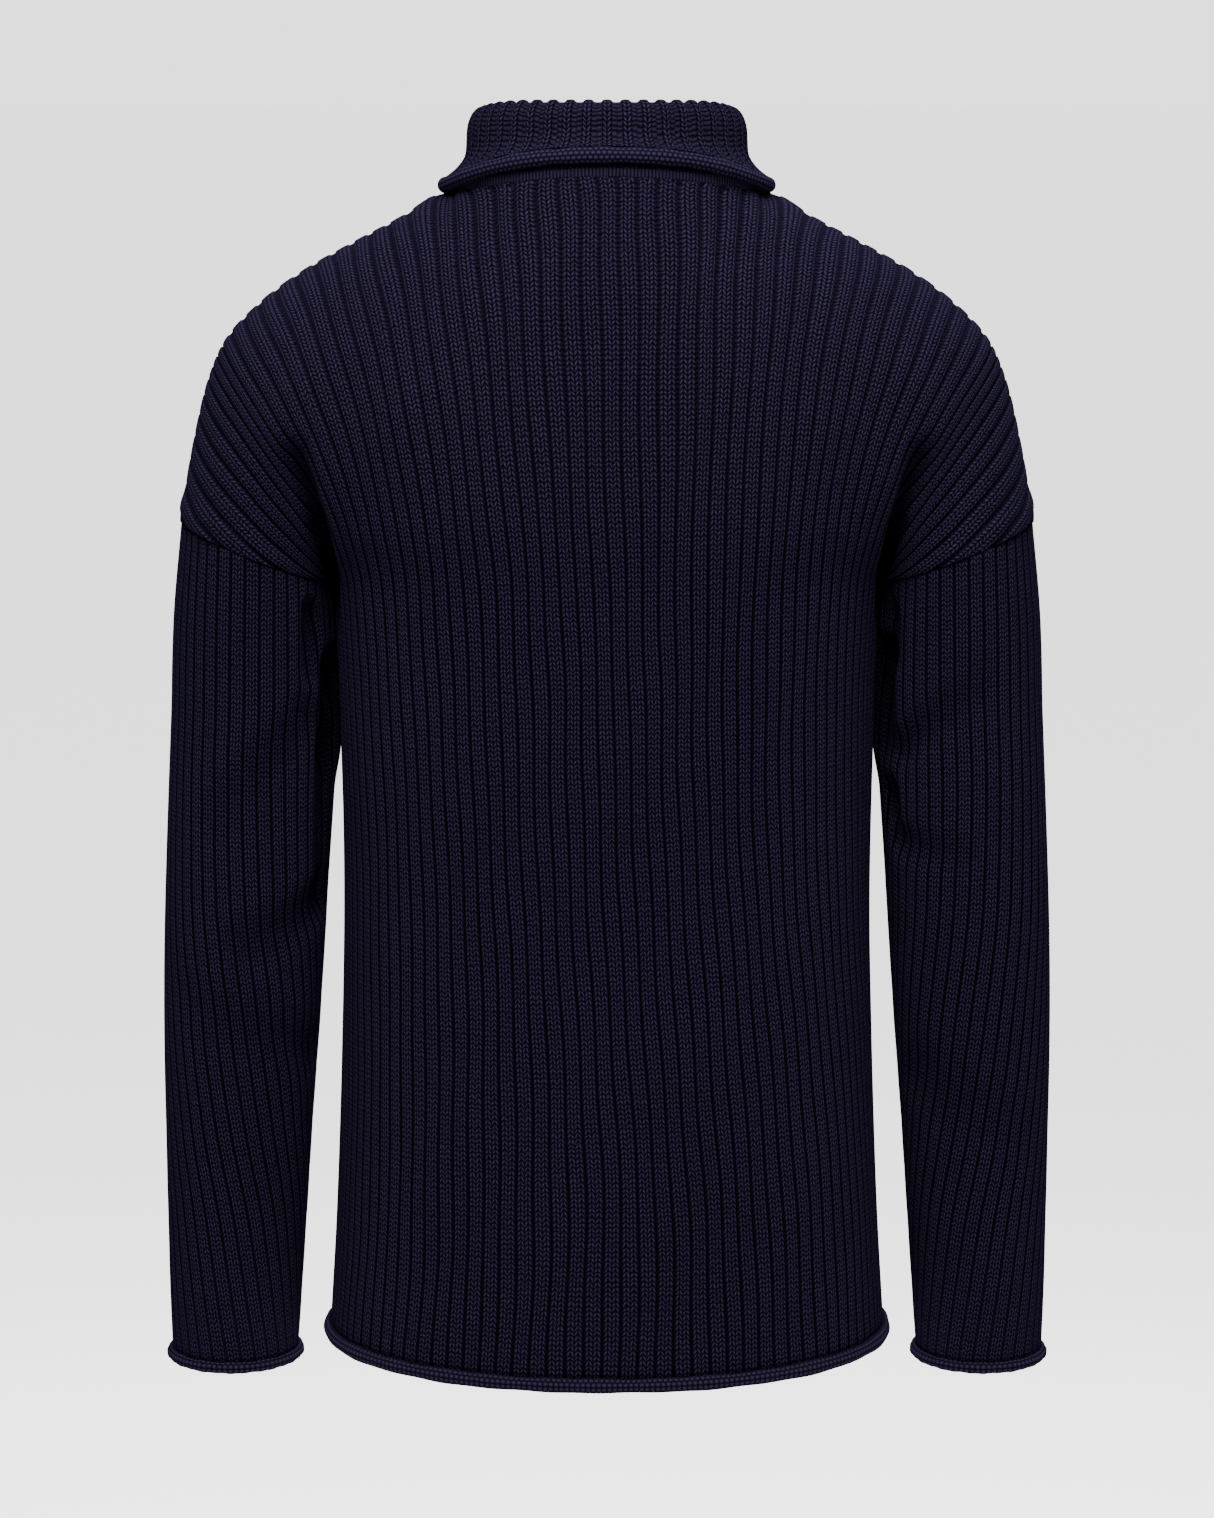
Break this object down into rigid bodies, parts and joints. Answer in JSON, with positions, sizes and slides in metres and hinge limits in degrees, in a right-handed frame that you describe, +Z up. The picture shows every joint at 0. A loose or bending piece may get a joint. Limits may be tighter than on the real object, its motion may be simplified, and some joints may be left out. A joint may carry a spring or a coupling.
{
  "type": "ski sweater",
  "caption": "Ribbed knit roll-neck ski sweater with drop shoulders, a turned-down collar and rolled hem and cuffs, filled out and hollow as if worn.",
  "frame": {"origin": "middle of the neck opening, level with the top of the shoulders, where a wearer holds the garment up", "axes": "+Z up, +Y out of the garment's back, -Y out of its front, +X towards the wearer's left sleeve"},
  "size_m": [0.54, 0.2449, 0.7641],
  "materials": {
    "rib_knit": "matte wool rib knit, deep navy",
    "plain_knit": "matte wool curled edge, deep navy"
  },
  "bodies": {
    "root": {"back_panel": "rib_knit", "front_panel": "rib_knit", "sleeve_left": "rib_knit", "sleeve_right": "rib_knit", "collar": "rib_knit", "neck_band": "plain_knit", "collar_roll": "plain_knit", "hem_roll": "plain_knit", "cuff_roll_left": "plain_knit", "cuff_roll_right": "plain_knit"}
  },
  "joints": []
}
